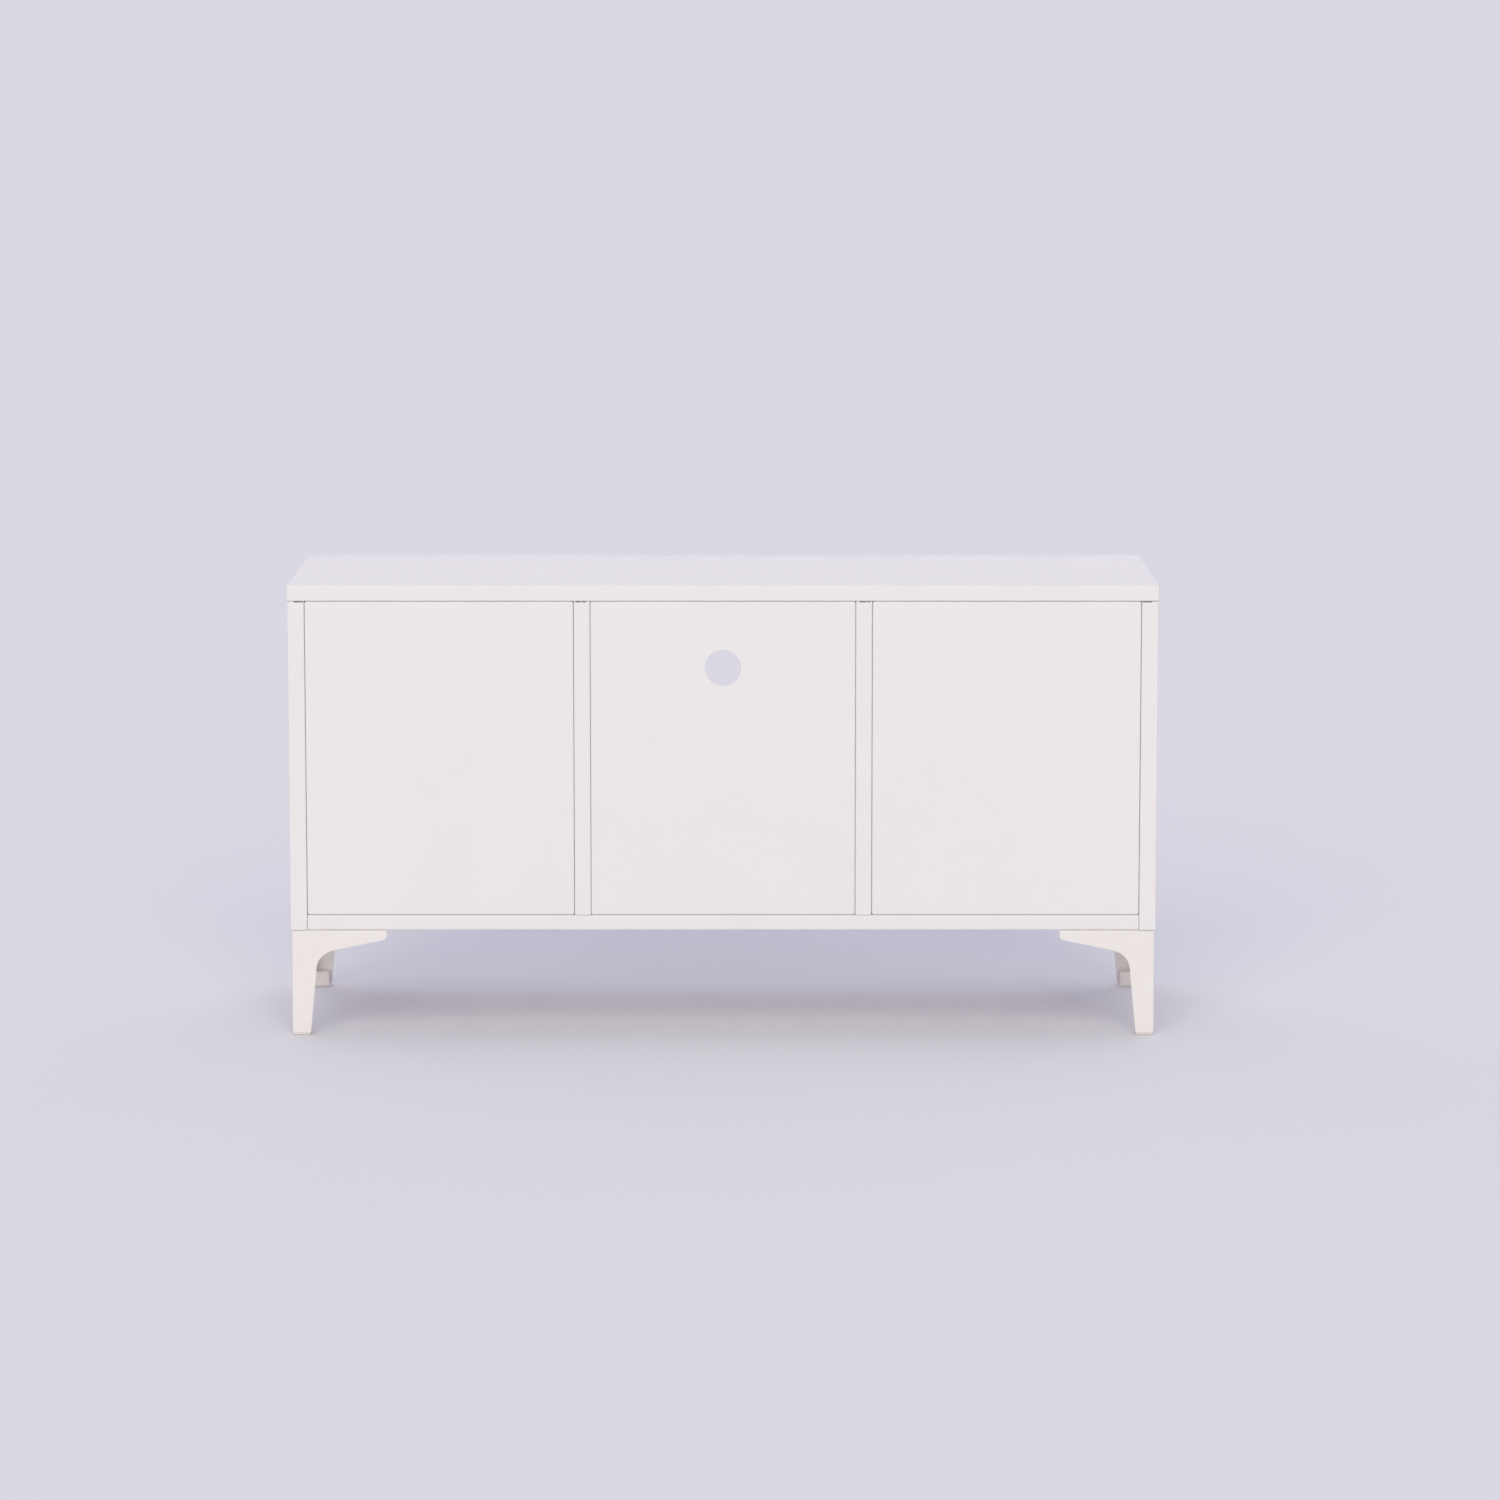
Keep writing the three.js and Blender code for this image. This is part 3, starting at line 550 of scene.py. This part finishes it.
# %% [markdown]
# ## The rivet nuts
# Sheet this thin can't hold a thread, so each leg bolt goes into a rivet nut that is squeezed into the sheet
# above the leg. It has a flange on the sheet, a bulge where its wall has folded, and a plain barrel. It is
# turned like the knobs, but with a bore that the bolt goes through.

# %% Squeeze in the rivet nuts
LIP_SHEET = 0.8
NUT_SIDES = 32
NUT_STEPS = 3
NUT = {"bore": 2.9, "flange": 5.6, "thick": 0.9, "bulge": 4.9, "shoulder": 4.1, "barrel": 4.1, "high": 8.6}
NUT_OUTLINE = [
    (NUT["bore"], 0.0, 0),
    (NUT["flange"], 0.0, 0.3),
    (NUT["flange"], NUT["thick"], 0.3),
    (NUT["bulge"], NUT["thick"] + 0.3, 0.2),
    (NUT["bulge"], NUT["shoulder"], 0.7),
    (NUT["barrel"], NUT["shoulder"] + 0.4, 0.3),
    (NUT["barrel"], NUT["high"], 0.4),
    (NUT["bore"], NUT["high"], 0),
]
lip_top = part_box("floor_panel")[0].z + LIP_SHEET * MM

for corner in CORNERS:
    for letter in "ab":
        low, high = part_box(f"{corner}_leg_bolt_{letter}")
        seat = ((low.x + high.x) / 2, (low.y + high.y) / 2, lip_top)
        name = f"{corner}_rivet_nut_{letter}"
        nut = turn_piece(name, NUT_OUTLINE, seat, (0, 0, 1), NUT_SIDES, NUT_STEPS, bored=True)
        keep_flats(place_piece(nut, zinc, "cabinet"))
print("rivet nuts:", 2 * len(CORNERS), "on the lip at z =", round(lip_top, 4))

# %% [markdown]
# ## The catches' pole plates
# A magnetic catch holds a magnet between two steel plates. Their edges stand a hair proud of the plastic and
# meet the strike plate when the door is shut. A box with its edges bevelled in the mesh is enough for them.

# %% Add the pole plates
POLE = {"wide": 23.0, "thick": 0.9, "deep": 1.1, "proud": 0.2, "apart": 1.7, "edge": 0.12}


def make_plate(name, centre, size, edge):
    """A flat plate with every edge rounded."""
    build = bmesh.new()
    place = Matrix.Translation(centre) @ Matrix.Diagonal((*size, 1))
    bmesh.ops.create_cube(build, size=1, matrix=place)
    bmesh.ops.bevel(build, geom=build.edges[:], offset=edge, segments=3, profile=0.5, affect="EDGES")
    return close_mesh(name, build)


for side in SIDES:
    low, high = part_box(f"{side}_magnet_catch")
    size = Vector((POLE["wide"], POLE["deep"], POLE["thick"])) * MM
    y = low.y + (POLE["deep"] / 2 - POLE["proud"]) * MM
    for place, step in (("upper", 0.5), ("lower", -0.5)):
        z = (low.z + high.z) / 2 + step * POLE["apart"] * MM
        centre = Vector(((low.x + high.x) / 2, y, z))
        plate = make_plate(f"{side}_catch_{place}_pole", centre, size, POLE["edge"] * MM)
        keep_flats(place_piece(plate, zinc, "cabinet"))
print("pole plates:", 2 * len(SIDES))

# %% [markdown]
# ## The studio
# The cabinet stands on a wide sweep of pale matt paper. The floor is far larger than the view, so that its
# end doesn't show behind the cabinet. Paper isn't one flat colour either: it has a faint cloudiness.

# %% Lay the floor
FLOOR_SIZE = 900
PAPER_PALE = (0.808, 0.793, 0.842)
PAPER_CLOUD = (0.799, 0.784, 0.832)
PAPER_ROUGHNESS = 0.95
PAPER_CLOUDS_PER_METRE = 0.8

build = bmesh.new()
bmesh.ops.create_grid(build, x_segments=1, y_segments=1, size=FLOOR_SIZE / 2)
floor_mesh = bpy.data.meshes.new("studio_floor")
build.to_mesh(floor_mesh)
build.free()
floor = bpy.data.objects.new("studio_floor", floor_mesh)
bpy.context.scene.collection.objects.link(floor)

paper, paper_tree, paper_shader = start_material("studio_paper")
paper_noise = noise(paper_tree, own_place(paper_tree), PAPER_CLOUDS_PER_METRE)
paper_clouds = between(paper_tree, paper_noise, 0.0, 1.0)
paper_colour = blend_colours(paper_tree, paper_clouds, PAPER_PALE, PAPER_CLOUD)
set_shader(paper_tree, paper_shader, Base_Color=paper_colour)
set_shader(paper_tree, paper_shader, Roughness=PAPER_ROUGHNESS, Specular_IOR_Level=0.0)
floor_mesh.materials.append(paper)
print("floor:", FLOOR_SIZE, "m wide")

# %% [markdown]
# ## The light
# White on white only reads in soft light. A pale blue sky gives the base, and two very wide suns give the
# faces their different tones: a warm one behind the camera, and a weaker one in front of the doors, so that
# they aren't in the dark when they are looked at. Suns light the floor evenly, however far it runs, which
# area lamps wouldn't. The fill is the widest, or its reflection would burn out the top.

# %% Set the light
SKY = {"colour": (0.82, 0.83, 1.0), "strength": 0.588}
SUNS = {
    "key": {"azimuth": 176, "height": 30, "strength": 1.42, "spread": 50, "colour": (1.0, 0.98, 0.77)},
    "fill": {"azimuth": 0, "height": 33, "strength": 0.92, "spread": 92, "colour": (1.0, 0.965, 0.96)},
}
LAMP_DISTANCE = 5

world = bpy.data.worlds.new("studio")
bpy.context.scene.world = world
world.use_nodes = True
sky = world.node_tree.nodes["Background"]
sky.inputs["Color"].default_value = (*SKY["colour"], 1)
sky.inputs["Strength"].default_value = SKY["strength"]

for name, sun in SUNS.items():
    data = bpy.data.lights.new(name, "SUN")
    data.energy = sun["strength"]
    data.angle = math.radians(sun["spread"])
    data.color = sun["colour"]
    azimuth = math.radians(sun["azimuth"])
    height = math.radians(sun["height"])
    flat = Vector((math.sin(azimuth), -math.cos(azimuth), 0))
    towards = flat * math.cos(height) + Vector((0, 0, math.sin(height)))
    lamp = bpy.data.objects.new(name, data)
    lamp.location = LAMP_DISTANCE * towards
    lamp.rotation_euler = towards.to_track_quat("Z", "Y").to_euler()
    bpy.context.scene.collection.objects.link(lamp)
bpy.context.scene.view_settings.view_transform = "Standard"
print("lights:", list(SUNS))
